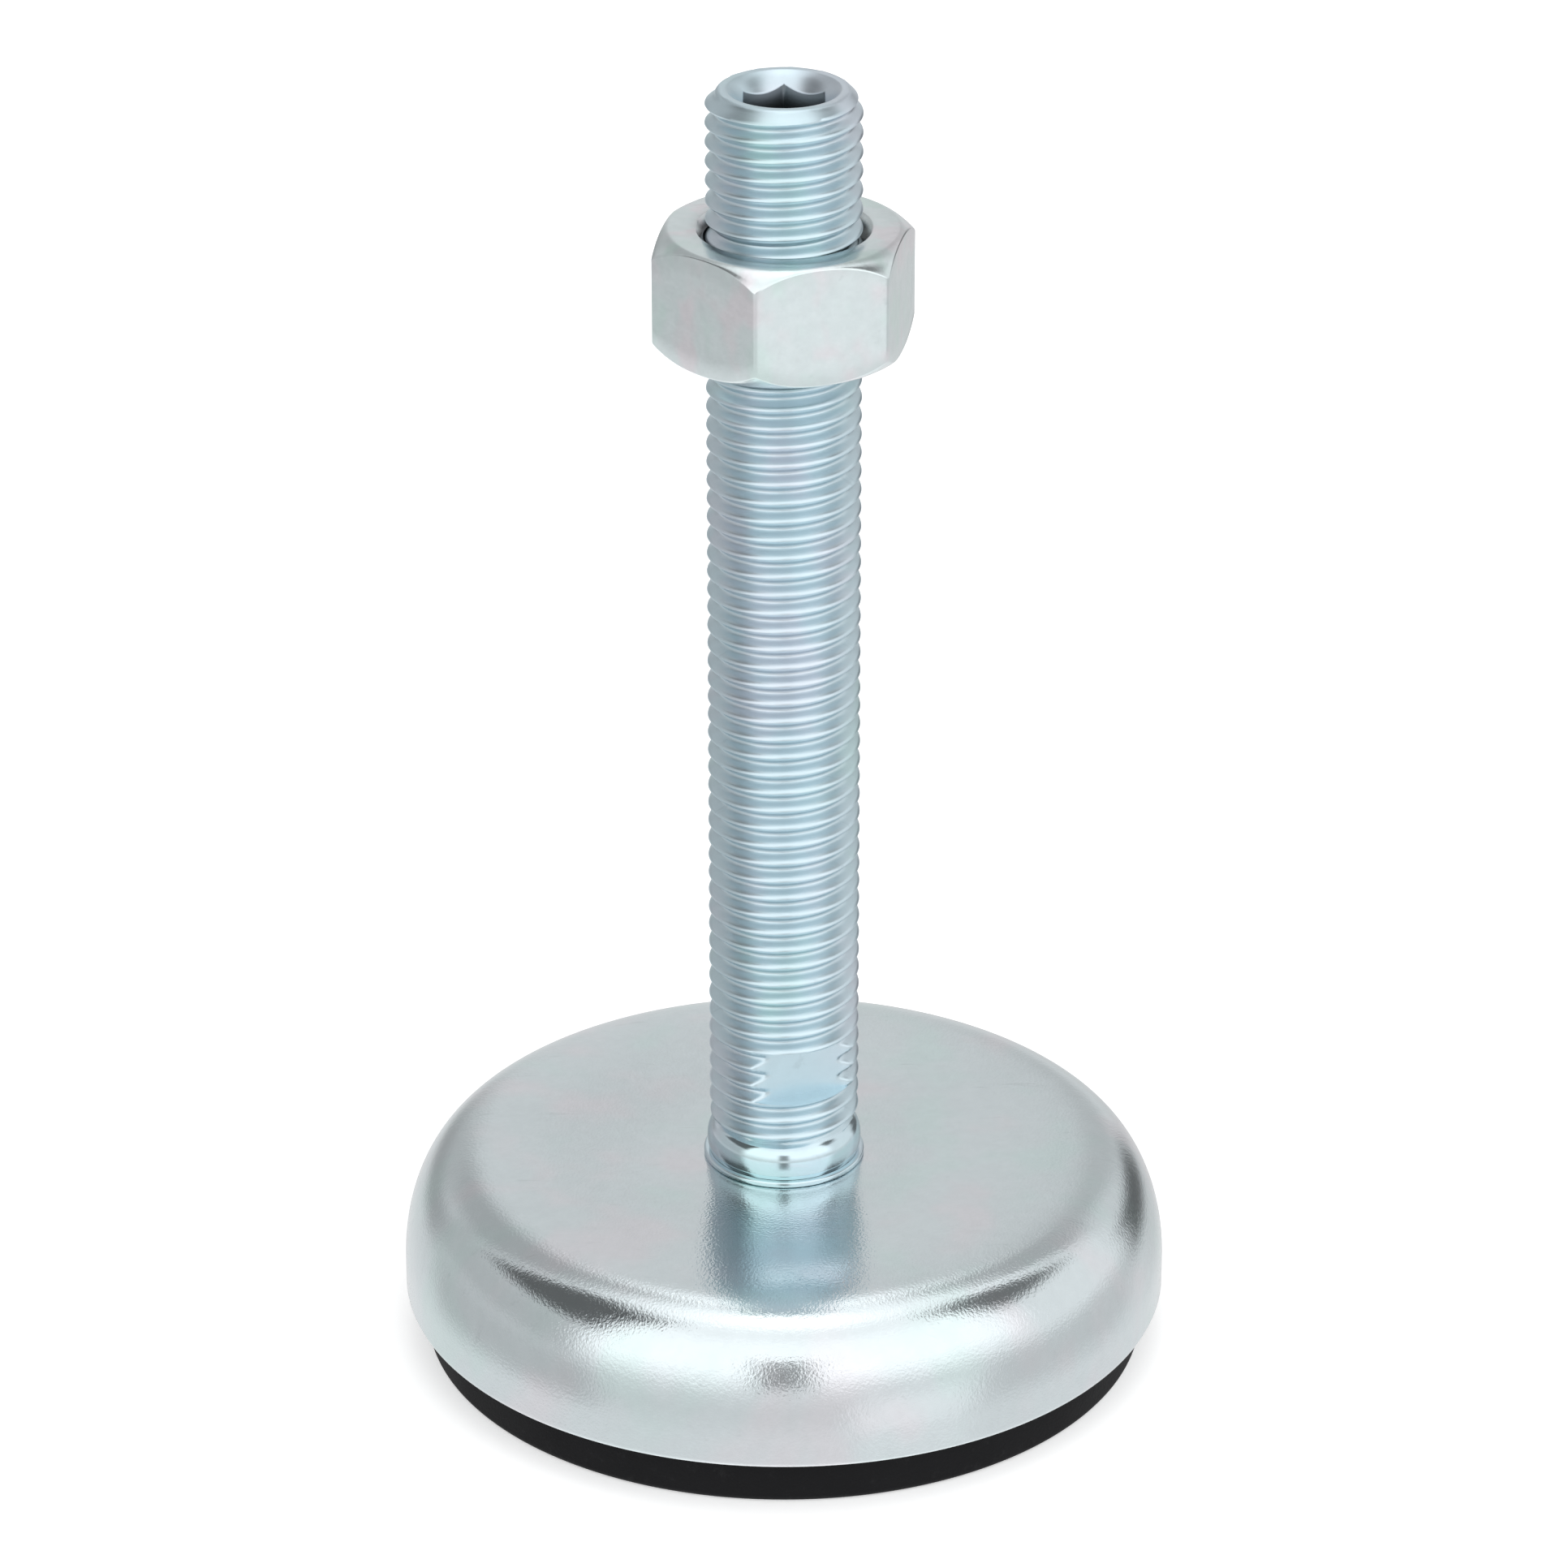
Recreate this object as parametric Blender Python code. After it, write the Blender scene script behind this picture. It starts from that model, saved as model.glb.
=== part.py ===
"""Furniture leveling foot: a pressed steel base on a rubber pad, and an M16 x 2 stud that turns in it.

Units are metres, +Z is up and the origin is the centre of the face that rests on the floor. The stud
passes through the base and is held under it by a washer and a retaining ring, so it turns freely. The
jam nut runs on the stud's right-hand thread.
"""

import math

import bmesh
import bpy
from mathutils import Matrix

# Base, as heights above the floor and radii. The plate is flat out to the seat radius and then rises.
BASE_RADIUS = 0.0403
RIM_HEIGHT = 0.0055
PLATE_TOP = 0.0200
PLATE_EDGE_TOP = 0.0208
SEAT_RADIUS = 0.0130
PLATE_FLAT_RADIUS = 0.0326
SHOULDER_START = 0.0085
SHELL_THICKNESS = 0.0020
PIVOT_HOLE_RADIUS = 0.0054

# Rubber pad
PAD_FLOOR_RADIUS = 0.0381
PAD_EDGE_CHAMFER = 0.0006
PAD_GROOVE_RADII = (0.014, 0.022, 0.030)
PAD_GROOVE_WIDTH = 0.0020
PAD_GROOVE_DEPTH = 0.0012
PAD_POCKET_RADIUS = 0.0092
PAD_POCKET_FLOOR = 0.0120

# Stack on the pivot, from the collar down
FIT_GAP = 0.0001
THRUST_WASHER_RADIUS = 0.0084
THRUST_WASHER_THICKNESS = 0.0005
BACKING_DISC_RADIUS = 0.0240
BACKING_DISC_THICKNESS = 0.0020
LOWER_WASHER_RADIUS = 0.0085
LOWER_WASHER_THICKNESS = 0.0010
RING_THICKNESS = 0.0010
RING_RADIUS = 0.0072
RING_GAP_ANGLE = math.radians(50)
GROOVE_RADIUS = 0.0045
SHANK_RADIUS = 0.0050
SHANK_END_LENGTH = 0.0014

# Stud
TOTAL_HEIGHT = 0.1385
CREST_RADIUS = 0.0079
ROOT_RADIUS = 0.00677
PITCH = 0.0020
CREST_FLAT = 0.00030
ROOT_FLAT = 0.00040
END_FACE_RADIUS = 0.0065
COLLAR_RADIUS = 0.0081
COLLAR_HEIGHT = 0.0037
NECK_RADIUS = 0.0066
THREAD_DATUM_HEIGHT = 0.1350
THREAD_DATUM_ANGLE = math.radians(-13)
SOCKET_ACROSS_FLATS = 0.0080
SOCKET_DEPTH = 0.0100
SOCKET_MOUTH_RADIUS = 0.0056
WRENCH_ACROSS_FLATS = 0.0112
WRENCH_FLAT_BOTTOM = 0.02957
WRENCH_FLAT_TOP = 0.03553
WRENCH_FLAT_ANGLE = math.radians(-69)

# Jam nut
NUT_ACROSS_FLATS = 0.0240
NUT_HEIGHT = 0.0126
NUT_BOTTOM = 0.1115
NUT_CORNER_ANGLE = math.radians(18)
NUT_FACE_RADIUS = 0.0116
NUT_CHAMFER_ANGLE = math.radians(30)
NUT_MINOR_RADIUS = 0.0071
NUT_MAJOR_RADIUS = 0.00818
NUT_TOOTH_FLAT = 0.00030
NUT_GROOVE_FLAT = 0.00060
NUT_MOUTH_RADIUS = 0.0088

# Mesh fineness
THREAD_SEGMENTS = 16
TURNED_SEGMENTS = 48
SMALL_SEGMENTS = 32
SHOULDER_STEPS = 7
COLLAR_STEPS = 5
OVERSHOOT = 0.001


def clear_scene():
    """Remove whatever the opened scene holds."""
    for obj in list(bpy.data.objects):
        bpy.data.objects.remove(obj, do_unlink=True)


def metal(name, color, roughness):
    """Zinc plated steel of one colour and roughness."""
    return finish(name, color, roughness, metallic=1.0)


def finish(name, color, roughness, metallic):
    material = bpy.data.materials.new(name)
    material.use_nodes = True
    shader = material.node_tree.nodes["Principled BSDF"]
    shader.inputs["Base Color"].default_value = (*color, 1.0)
    shader.inputs["Roughness"].default_value = roughness
    shader.inputs["Metallic"].default_value = metallic
    return material


def add_object(name, mesh_data, material=None, height=0.0):
    """Put a bmesh in the scene as an object that stands at the given height on the foot's axis."""
    bmesh.ops.recalc_face_normals(mesh_data, faces=mesh_data.faces)
    mesh = bpy.data.meshes.new(name)
    mesh_data.to_mesh(mesh)
    mesh_data.free()
    if material:
        mesh.materials.append(material)
    mesh.shade_smooth()
    mesh.set_sharp_from_angle(angle=math.radians(35))
    obj = bpy.data.objects.new(name, mesh)
    obj.location = (0.0, 0.0, height)
    bpy.context.scene.collection.objects.link(obj)
    return obj


def add_cutter(name, mesh_data, height=0.0):
    """A helper solid for Booleans, which isn't part of the foot."""
    obj = add_object(name, mesh_data, height=height)
    obj.hide_render = True
    obj.display_type = "WIRE"
    return obj


def combine(obj, operation, tool):
    modifier = obj.modifiers.new(f"{operation.lower()} {tool.name}", "BOOLEAN")
    modifier.operation = operation
    modifier.solver = "EXACT"
    modifier.object = tool


def turned(profile, segments, angle=2 * math.pi, start_angle=0.0):
    """Spin a closed outline of (radius, height) points about the axis; a part turn gets flat ends."""
    data = bmesh.new()
    corners = [
        data.verts.new((radius * math.cos(start_angle), radius * math.sin(start_angle), height))
        for radius, height in profile
    ]
    outline = data.faces.new(corners)
    if angle == 2 * math.pi:
        edges = list(outline.edges)
        data.faces.remove(outline)
        bmesh.ops.spin(data, geom=corners + edges, axis=(0, 0, 1), angle=angle, steps=segments)
        bmesh.ops.remove_doubles(data, verts=data.verts, dist=1e-6)
        on_axis = [face for face in data.faces if face.calc_area() < 1e-14]
        bmesh.ops.delete(data, geom=on_axis, context="FACES_ONLY")
    else:
        bmesh.ops.spin(data, geom=[outline], axis=(0, 0, 1), angle=angle, steps=segments)
    return data


def quarter_arc(inner_radius, outer_radius, low, high, steps):
    """Quarter of an ellipse from the flat top (inner radius, high) down to the side (outer radius, low)."""
    points = []
    for step in range(steps + 1):
        turn = math.pi / 2 * step / steps
        radius = inner_radius + (outer_radius - inner_radius) * math.sin(turn)
        points.append((radius, low + (high - low) * math.cos(turn)))
    return points


def helical_rod(bottom, top, root_radius, crest_radius, root_flat, crest_flat, datum_height):
    """A closed rod with a right-hand thread. A groove's middle is at the datum height and angle.

    Each ring of the grid climbs one pitch in a turn, so its last point meets the ring one pitch above.
    """
    flank = (PITCH - root_flat - crest_flat) / 2
    tooth = [
        (-root_flat / 2, root_radius),
        (root_flat / 2, root_radius),
        (root_flat / 2 + flank, crest_radius),
        (root_flat / 2 + flank + crest_flat, crest_radius),
    ]
    first_turn = math.floor((bottom - datum_height) / PITCH) - 1
    last_turn = math.ceil((top - datum_height) / PITCH) + 1
    data = bmesh.new()
    rings = []
    for turn in range(first_turn, last_turn + 1):
        for offset, radius in tooth:
            base_height = datum_height + turn * PITCH + offset
            rings.append(helix_ring(data, base_height, radius))
    rows = len(rings) - len(tooth)
    for row in range(rows):
        for column in range(THREAD_SEGMENTS):
            last_column = column == THREAD_SEGMENTS - 1
            right = rings[row + len(tooth)][0] if last_column else rings[row][column + 1]
            above = rings[row + 1 + len(tooth)][0] if last_column and row + 1 < rows else None
            if above is None:
                if last_column:
                    continue
                above = rings[row + 1][column + 1]
            data.faces.new((rings[row][column], right, above, rings[row + 1][column]))
    loose = [vertex for vertex in data.verts if not vertex.link_faces]
    bmesh.ops.delete(data, geom=loose, context="VERTS")
    close_ends(data)
    return data


def helix_ring(data, base_height, radius):
    """One turn of points that climbs a pitch, starting at the datum angle."""
    ring = []
    for column in range(THREAD_SEGMENTS):
        share = column / THREAD_SEGMENTS
        angle = THREAD_DATUM_ANGLE + 2 * math.pi * share
        place = (radius * math.cos(angle), radius * math.sin(angle), base_height + PITCH * share)
        ring.append(data.verts.new(place))
    return ring


def close_ends(data):
    """Fan each open end of the rod to a point on the axis."""
    middle = sum(vertex.co.z for vertex in data.verts) / len(data.verts)
    open_edges = [edge for edge in data.edges if len(edge.link_faces) == 1]
    for is_top in (False, True):
        edges = [edge for edge in open_edges if (edge.verts[0].co.z > middle) == is_top]
        heights = [vertex.co.z for edge in edges for vertex in edge.verts]
        hub = data.verts.new((0.0, 0.0, (min(heights) + max(heights)) / 2))
        for edge in edges:
            data.faces.new((edge.verts[0], edge.verts[1], hub))


def hexagon(across_flats, bottom, top, corner_angle):
    """A hexagonal prism with one corner at the given angle."""
    data = bmesh.new()
    corners = []
    for side in range(6):
        angle = corner_angle + side * math.pi / 3
        reach = across_flats / math.sqrt(3)
        corners.append(data.verts.new((reach * math.cos(angle), reach * math.sin(angle), bottom)))
    base = data.faces.new(corners)
    raised = bmesh.ops.extrude_face_region(data, geom=[base], use_keep_orig=True)["geom"]
    top_corners = [item for item in raised if isinstance(item, bmesh.types.BMVert)]
    bmesh.ops.translate(data, verts=top_corners, vec=(0.0, 0.0, top - bottom))
    return data


def ring_outline(inner_radius, outer_radius, bottom, top):
    return [(inner_radius, bottom), (outer_radius, bottom), (outer_radius, top), (inner_radius, top)]


def base_cup(material):
    """Pressed shell: slightly dished plate, rounded shoulder and short straight wall, open underneath."""
    inner_radius = BASE_RADIUS - SHELL_THICKNESS
    underside = PLATE_TOP - SHELL_THICKNESS
    edge_underside = PLATE_EDGE_TOP - SHELL_THICKNESS
    outer = quarter_arc(PLATE_FLAT_RADIUS, BASE_RADIUS, SHOULDER_START, PLATE_EDGE_TOP, SHOULDER_STEPS)
    inner = quarter_arc(PLATE_FLAT_RADIUS, inner_radius, SHOULDER_START, edge_underside, SHOULDER_STEPS)
    profile = [(PIVOT_HOLE_RADIUS, PLATE_TOP), (SEAT_RADIUS, PLATE_TOP), *outer, (BASE_RADIUS, RIM_HEIGHT)]
    profile += [(inner_radius, RIM_HEIGHT), *reversed(inner)]
    profile += [(SEAT_RADIUS, underside), (PIVOT_HOLE_RADIUS, underside)]
    return add_object("base_cup", turned(profile, TURNED_SEGMENTS), material)


def rubber_pad(material):
    """Moulded pad that fills the cup and stands proud of its rim, grooved where it grips the floor."""
    gap = 2 * FIT_GAP
    side = BASE_RADIUS - SHELL_THICKNESS - gap
    top = PLATE_TOP - SHELL_THICKNESS - gap
    edge_top = PLATE_EDGE_TOP - SHELL_THICKNESS - gap
    disc_seat = top - BACKING_DISC_THICKNESS - FIT_GAP
    disc_radius = BACKING_DISC_RADIUS + gap
    shoulder = quarter_arc(PLATE_FLAT_RADIUS, side, SHOULDER_START, edge_top, SHOULDER_STEPS)
    profile = [(0.0, PAD_POCKET_FLOOR), (PAD_POCKET_RADIUS, PAD_POCKET_FLOOR), (PAD_POCKET_RADIUS, disc_seat)]
    profile += [(disc_radius, disc_seat), (disc_radius, top), *shoulder, (side, RIM_HEIGHT)]
    profile += [(PAD_FLOOR_RADIUS, PAD_EDGE_CHAMFER), (PAD_FLOOR_RADIUS - PAD_EDGE_CHAMFER, 0.0)]
    for radius in reversed(PAD_GROOVE_RADII):
        outer = radius + PAD_GROOVE_WIDTH / 2
        inner = radius - PAD_GROOVE_WIDTH / 2
        profile += [(outer, 0.0), (outer, PAD_GROOVE_DEPTH), (inner, PAD_GROOVE_DEPTH), (inner, 0.0)]
    profile.append((0.0, 0.0))
    return add_object("rubber_pad", turned(profile, TURNED_SEGMENTS), material)


def flat_ring(name, outer_radius, bottom, thickness, material):
    """A washer or disc that the pivot passes through."""
    outline = ring_outline(PIVOT_HOLE_RADIUS, outer_radius, 0.0, thickness)
    return add_object(name, turned(outline, SMALL_SEGMENTS), material, height=bottom)


def retaining_ring(bottom, material):
    """C-shaped ring that snaps into the pivot's groove."""
    outline = ring_outline(GROOVE_RADIUS + FIT_GAP, RING_RADIUS, 0.0, RING_THICKNESS)
    arc = 2 * math.pi - RING_GAP_ANGLE
    data = turned(outline, SMALL_SEGMENTS, angle=arc, start_angle=RING_GAP_ANGLE / 2)
    return add_object("retaining_ring", data, material, height=bottom)


def stud_foot(collar_bottom, ring_bottom):
    """Domed collar, the neck that runs up inside the thread, and the grooved pivot below."""
    collar_top = collar_bottom + COLLAR_HEIGHT
    dome = quarter_arc(NECK_RADIUS, COLLAR_RADIUS, collar_bottom + FIT_GAP, collar_top, COLLAR_STEPS)
    groove_top = ring_bottom + RING_THICKNESS + FIT_GAP
    groove_bottom = ring_bottom - FIT_GAP
    end = groove_bottom - SHANK_END_LENGTH
    profile = [(0.0, end), (SHANK_RADIUS - 2 * FIT_GAP, end), (SHANK_RADIUS, end + 2 * FIT_GAP)]
    profile += [(SHANK_RADIUS, groove_bottom), (GROOVE_RADIUS, groove_bottom)]
    profile += [(GROOVE_RADIUS, groove_top), (SHANK_RADIUS, groove_top), (SHANK_RADIUS, collar_bottom)]
    profile += [(COLLAR_RADIUS, collar_bottom), *reversed(dome)]
    profile += [(NECK_RADIUS, collar_top + 3 * PITCH), (0.0, collar_top + 3 * PITCH)]
    return turned(profile, SMALL_SEGMENTS)


def thread_envelope(collar_top):
    """Limits of the thread: it fades into the neck above the collar and is chamfered at the end face."""
    beyond = CREST_RADIUS + OVERSHOOT
    slope = math.tan(math.radians(45))
    lead = (beyond - END_FACE_RADIUS) * slope
    bottom = collar_top - PITCH / 2
    profile = [(0.0, bottom), (NECK_RADIUS - FIT_GAP, bottom), (beyond, bottom + 1.6 * PITCH)]
    profile += [(beyond, TOTAL_HEIGHT - lead), (END_FACE_RADIUS, TOTAL_HEIGHT), (0.0, TOTAL_HEIGHT)]
    return turned(profile, TURNED_SEGMENTS)


def socket_countersink():
    """Cone at the mouth of the key socket."""
    above = SOCKET_MOUTH_RADIUS + OVERSHOOT
    below = SOCKET_ACROSS_FLATS / 2 - OVERSHOOT
    depth = SOCKET_MOUTH_RADIUS - below
    profile = [(0.0, TOTAL_HEIGHT - depth), (below, TOTAL_HEIGHT - depth)]
    profile += [(above, TOTAL_HEIGHT + OVERSHOOT), (0.0, TOTAL_HEIGHT + OVERSHOOT)]
    return turned(profile, SMALL_SEGMENTS)


def wrench_flats():
    """Two blocks that mill a pair of parallel flats into the thread, for a spanner."""
    reach = CREST_RADIUS + OVERSHOOT
    depth = reach - WRENCH_ACROSS_FLATS / 2
    height = WRENCH_FLAT_TOP - WRENCH_FLAT_BOTTOM
    middle = (reach - depth / 2, 0.0, WRENCH_FLAT_BOTTOM + height / 2)
    mesh_data = bmesh.new()
    for turn in (0.0, math.pi):
        place = Matrix.Rotation(WRENCH_FLAT_ANGLE + turn, 4, "Z") @ Matrix.Translation(middle)
        size = Matrix.Diagonal((depth, 2 * reach, height, 1.0))
        bmesh.ops.create_cube(mesh_data, size=1.0, matrix=place @ size)
    return mesh_data


def leveling_stud(collar_bottom, ring_bottom, material):
    """Threaded stud: a key socket in its end, spanner flats low on the thread, a collar and a pivot."""
    collar_top = collar_bottom + COLLAR_HEIGHT
    rod = helical_rod(
        collar_top - PITCH,
        TOTAL_HEIGHT,
        ROOT_RADIUS,
        CREST_RADIUS,
        ROOT_FLAT,
        CREST_FLAT,
        THREAD_DATUM_HEIGHT,
    )
    stud = add_object("leveling_stud", rod, material)
    socket = hexagon(
        SOCKET_ACROSS_FLATS,
        TOTAL_HEIGHT - SOCKET_DEPTH,
        TOTAL_HEIGHT + OVERSHOOT,
        math.radians(90),
    )
    combine(stud, "INTERSECT", add_cutter("thread limits", thread_envelope(collar_top)))
    combine(stud, "UNION", add_cutter("stud foot", stud_foot(collar_bottom, ring_bottom)))
    combine(stud, "DIFFERENCE", add_cutter("key socket", socket))
    combine(stud, "DIFFERENCE", add_cutter("socket countersink", socket_countersink()))
    combine(stud, "DIFFERENCE", add_cutter("wrench flats", wrench_flats()))
    return stud


def nut_chamfers():
    """A double cone that rounds off the nut's corners at both faces."""
    beyond = NUT_ACROSS_FLATS / math.sqrt(3) + OVERSHOOT
    drop = (beyond - NUT_FACE_RADIUS) * math.tan(NUT_CHAMFER_ANGLE)
    profile = [(0.0, 0.0), (NUT_FACE_RADIUS, 0.0), (beyond, drop), (beyond, NUT_HEIGHT - drop)]
    profile += [(NUT_FACE_RADIUS, NUT_HEIGHT), (0.0, NUT_HEIGHT)]
    return turned(profile, TURNED_SEGMENTS)


def nut_mouth(face, outward):
    """Countersink of the threaded hole at one face; outward is +1 at the top face and -1 at the bottom."""
    wide = NUT_MOUTH_RADIUS + OVERSHOOT
    narrow = NUT_MINOR_RADIUS - OVERSHOOT
    depth = NUT_MOUTH_RADIUS - narrow
    profile = [(0.0, face - outward * depth), (narrow, face - outward * depth)]
    profile += [(wide, face + outward * OVERSHOOT), (0.0, face + outward * OVERSHOOT)]
    return turned(profile, SMALL_SEGMENTS)


def jam_nut(material):
    """Hexagonal nut, chamfered on both faces, with a thread that clears the stud's all round."""
    body = hexagon(NUT_ACROSS_FLATS, 0.0, NUT_HEIGHT, NUT_CORNER_ANGLE)
    nut = add_object("jam_nut", body, material, height=NUT_BOTTOM)
    tap = helical_rod(
        -PITCH,
        NUT_HEIGHT + PITCH,
        NUT_MINOR_RADIUS,
        NUT_MAJOR_RADIUS,
        NUT_TOOTH_FLAT,
        NUT_GROOVE_FLAT,
        THREAD_DATUM_HEIGHT - NUT_BOTTOM,
    )
    combine(nut, "INTERSECT", add_cutter("nut chamfers", nut_chamfers(), NUT_BOTTOM))
    combine(nut, "DIFFERENCE", add_cutter("nut thread", tap, NUT_BOTTOM))
    combine(nut, "DIFFERENCE", add_cutter("nut top mouth", nut_mouth(NUT_HEIGHT, 1), NUT_BOTTOM))
    combine(nut, "DIFFERENCE", add_cutter("nut bottom mouth", nut_mouth(0.0, -1), NUT_BOTTOM))
    return nut


def add_pivot(name, height, pieces):
    """An empty on a joint's axis that carries the pieces which move together."""
    pivot = bpy.data.objects.new(name, None)
    pivot.location = (0.0, 0.0, height)
    bpy.context.scene.collection.objects.link(pivot)
    for piece in pieces:
        piece.parent = pivot
        piece.location.z -= height


def main():
    clear_scene()
    bright_zinc = metal("bright zinc", (0.72, 0.78, 0.81), 0.22)
    satin_zinc = metal("satin zinc", (0.66, 0.71, 0.72), 0.34)
    spring_steel = metal("spring steel", (0.20, 0.21, 0.23), 0.38)
    rubber = finish("black rubber", (0.012, 0.012, 0.013), 0.75, metallic=0.0)

    washer_bottom = PLATE_TOP + FIT_GAP
    collar_bottom = washer_bottom + THRUST_WASHER_THICKNESS + FIT_GAP
    disc_bottom = PLATE_TOP - SHELL_THICKNESS - FIT_GAP - BACKING_DISC_THICKNESS
    lower_washer_bottom = disc_bottom - FIT_GAP - LOWER_WASHER_THICKNESS
    ring_bottom = lower_washer_bottom - FIT_GAP - RING_THICKNESS

    base_cup(satin_zinc)
    rubber_pad(rubber)
    flat_ring("backing_disc", BACKING_DISC_RADIUS, disc_bottom, BACKING_DISC_THICKNESS, satin_zinc)
    flat_ring("thrust_washer", THRUST_WASHER_RADIUS, washer_bottom, THRUST_WASHER_THICKNESS, bright_zinc)
    flat_ring("lower_washer", LOWER_WASHER_RADIUS, lower_washer_bottom, LOWER_WASHER_THICKNESS, satin_zinc)
    ring = retaining_ring(ring_bottom, spring_steel)
    stud = leveling_stud(collar_bottom, ring_bottom, bright_zinc)
    nut = jam_nut(bright_zinc)
    add_pivot("stud_axis", PLATE_TOP, [stud, ring])
    add_pivot("nut_travel_axis", NUT_BOTTOM, [nut])


main()
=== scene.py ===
"""Furniture leveling foot: the dressed model.

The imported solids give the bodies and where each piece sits. Every piece is made again here as a fine
surface: the rolled thread on the stud and in the nut, the pressed base cup, the moulded pad and the stack
of rings on the pivot. Lengths are metres, +Z is up and the axis of the foot is the Z axis.
"""

import logging
import math
from dataclasses import dataclass, field
from enum import Enum
from typing import Any, Mapping, Sequence

import bpy
import numpy as np
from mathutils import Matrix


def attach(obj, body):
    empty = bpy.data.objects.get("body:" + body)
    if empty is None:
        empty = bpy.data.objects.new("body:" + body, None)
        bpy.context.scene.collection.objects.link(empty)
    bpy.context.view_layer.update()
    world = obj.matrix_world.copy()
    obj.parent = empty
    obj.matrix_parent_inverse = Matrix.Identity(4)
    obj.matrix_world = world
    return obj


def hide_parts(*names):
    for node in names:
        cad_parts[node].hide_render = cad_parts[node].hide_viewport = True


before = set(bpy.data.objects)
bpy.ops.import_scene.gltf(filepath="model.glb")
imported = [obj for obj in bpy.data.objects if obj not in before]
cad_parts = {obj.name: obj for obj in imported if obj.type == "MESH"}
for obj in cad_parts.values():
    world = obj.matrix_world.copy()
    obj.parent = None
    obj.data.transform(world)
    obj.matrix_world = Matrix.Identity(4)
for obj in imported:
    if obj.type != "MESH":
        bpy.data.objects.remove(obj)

LOG = logging.getLogger("leveling_foot")
MM = 0.001
FULL_TURN = 2.0 * math.pi
SAME_PLACE = 1e-9

Array = np.ndarray
Link = Any
Socket = bpy.types.NodeSocket


# ------------------------------------------------------------------------------
# Shader expressions
# ------------------------------------------------------------------------------


class Value:
    """A number in a shader: Python's operators on it add the Math nodes that work it out."""

    def __init__(self, graph: "ShaderGraph", socket: bpy.types.NodeSocket) -> None:
        """Wrap one output socket of a graph.

        Args:
            graph: The graph that the socket belongs to.
            socket: An output socket that carries a number.
        """
        self.graph = graph
        self.socket = socket

    def math(self, operation: str, *others: Link, clamp: bool = False) -> "Value":
        """Apply a Math node to this value.

        Args:
            operation: Blender's name of the operation.
            others: The further operands, as numbers or values.
            clamp: Whether the result is kept between 0 and 1.

        Returns:
            The result as a value.
        """
        return self.graph.math(operation, self, *others, clamp=clamp)

    def __add__(self, other: Link) -> "Value":
        """Sum of two values."""
        return self.math("ADD", other)

    def __sub__(self, other: Link) -> "Value":
        """Difference of two values."""
        return self.math("SUBTRACT", other)

    def __rsub__(self, other: Link) -> "Value":
        """Difference of a number and this value."""
        return self.graph.math("SUBTRACT", other, self)

    def __mul__(self, other: Link) -> "Value":
        """Product of two values."""
        return self.math("MULTIPLY", other)

    def __truediv__(self, other: Link) -> "Value":
        """Quotient of two values."""
        return self.math("DIVIDE", other)

    __radd__ = __add__
    __rmul__ = __mul__

    def step(self, low: float, high: float) -> "Value":
        """A smooth step that is 0 at low and 1 at high, and the other way round where low is above high."""
        turned = low > high
        ends = {"From Min": min(low, high), "From Max": max(low, high)}
        ends.update({"To Min": 1.0 if turned else 0.0, "To Max": 0.0 if turned else 1.0})
        settings = {"interpolation_type": "SMOOTHSTEP"}
        return self.graph.value("ShaderNodeMapRange", settings, {"Value": self, **ends}, "Result")


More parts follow.
